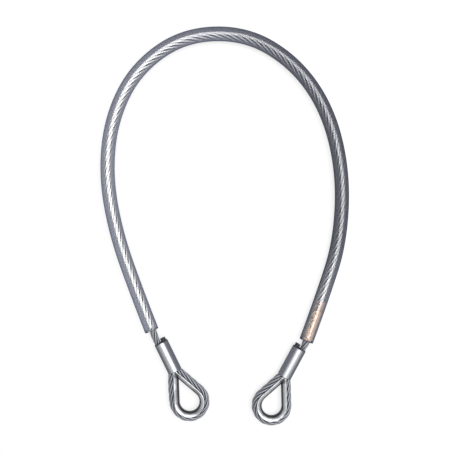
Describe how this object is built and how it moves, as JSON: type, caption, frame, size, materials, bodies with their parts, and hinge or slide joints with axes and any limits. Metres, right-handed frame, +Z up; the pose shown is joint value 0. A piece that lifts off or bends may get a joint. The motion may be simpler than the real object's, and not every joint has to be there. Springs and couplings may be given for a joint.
{
  "type": "looped security cable",
  "caption": "Steel wire rope sling in a loose clear sleeve, with a thimble eye and a pressed ferrule at each end, for locking a bicycle with a padlock.",
  "frame": {"origin": "centre of the bounding box's base: the middle of the loop, on the surface that it lies on", "axes": "+Y from the two eyes to the top of the loop, +X to the right limb as seen from above, +Z up from the surface"},
  "size_m": [0.2671, 0.4279, 0.015],
  "materials": {
    "clear_sleeve": "clear soft PVC, glossy",
    "wire_rope": "galvanised steel wires",
    "thimble": "zinc plated, bright on its flanges",
    "ferrule": "pressed, smooth",
    "label": "matt, peach"
  },
  "bodies": {
    "left_side": {"left_clear_sleeve": "clear_sleeve", "left_wire_rope": "wire_rope", "left_neck_rope": "wire_rope"},
    "right_side": {"right_clear_sleeve": "clear_sleeve", "right_wire_rope": "wire_rope", "right_neck_rope": "wire_rope", "paper_label": "label"},
    "left_eye": {"left_thimble": "thimble", "left_ferrule": "ferrule", "left_eye_rope": "wire_rope"},
    "right_eye": {"right_thimble": "thimble", "right_ferrule": "ferrule", "right_eye_rope": "wire_rope"}
  },
  "joints": [
    {"name": "loop_flex", "type": "hinge", "parent": "left_side", "child": "right_side", "pos_m": [-0.0115, 0.2065, 0.0075], "axis": [0, 0, 1], "range_deg": [-2, 40], "stiffness_Nm_per_rad": 0.2, "deforming": ["left_clear_sleeve", "right_clear_sleeve", "left_wire_rope", "right_wire_rope"]},
    {"name": "left_eye_flex", "type": "hinge", "parent": "left_side", "child": "left_eye", "pos_m": [-0.0775, -0.112, 0.0075], "axis": [0, 0, 1], "range_deg": [-20, 10], "stiffness_Nm_per_rad": 2, "deforming": ["left_neck_rope"]},
    {"name": "right_eye_flex", "type": "hinge", "parent": "right_side", "child": "right_eye", "pos_m": [0.087, -0.1235, 0.0075], "axis": [0, 0, -1], "range_deg": [-20, 10], "stiffness_Nm_per_rad": 2, "deforming": ["right_neck_rope"]}
  ]
}
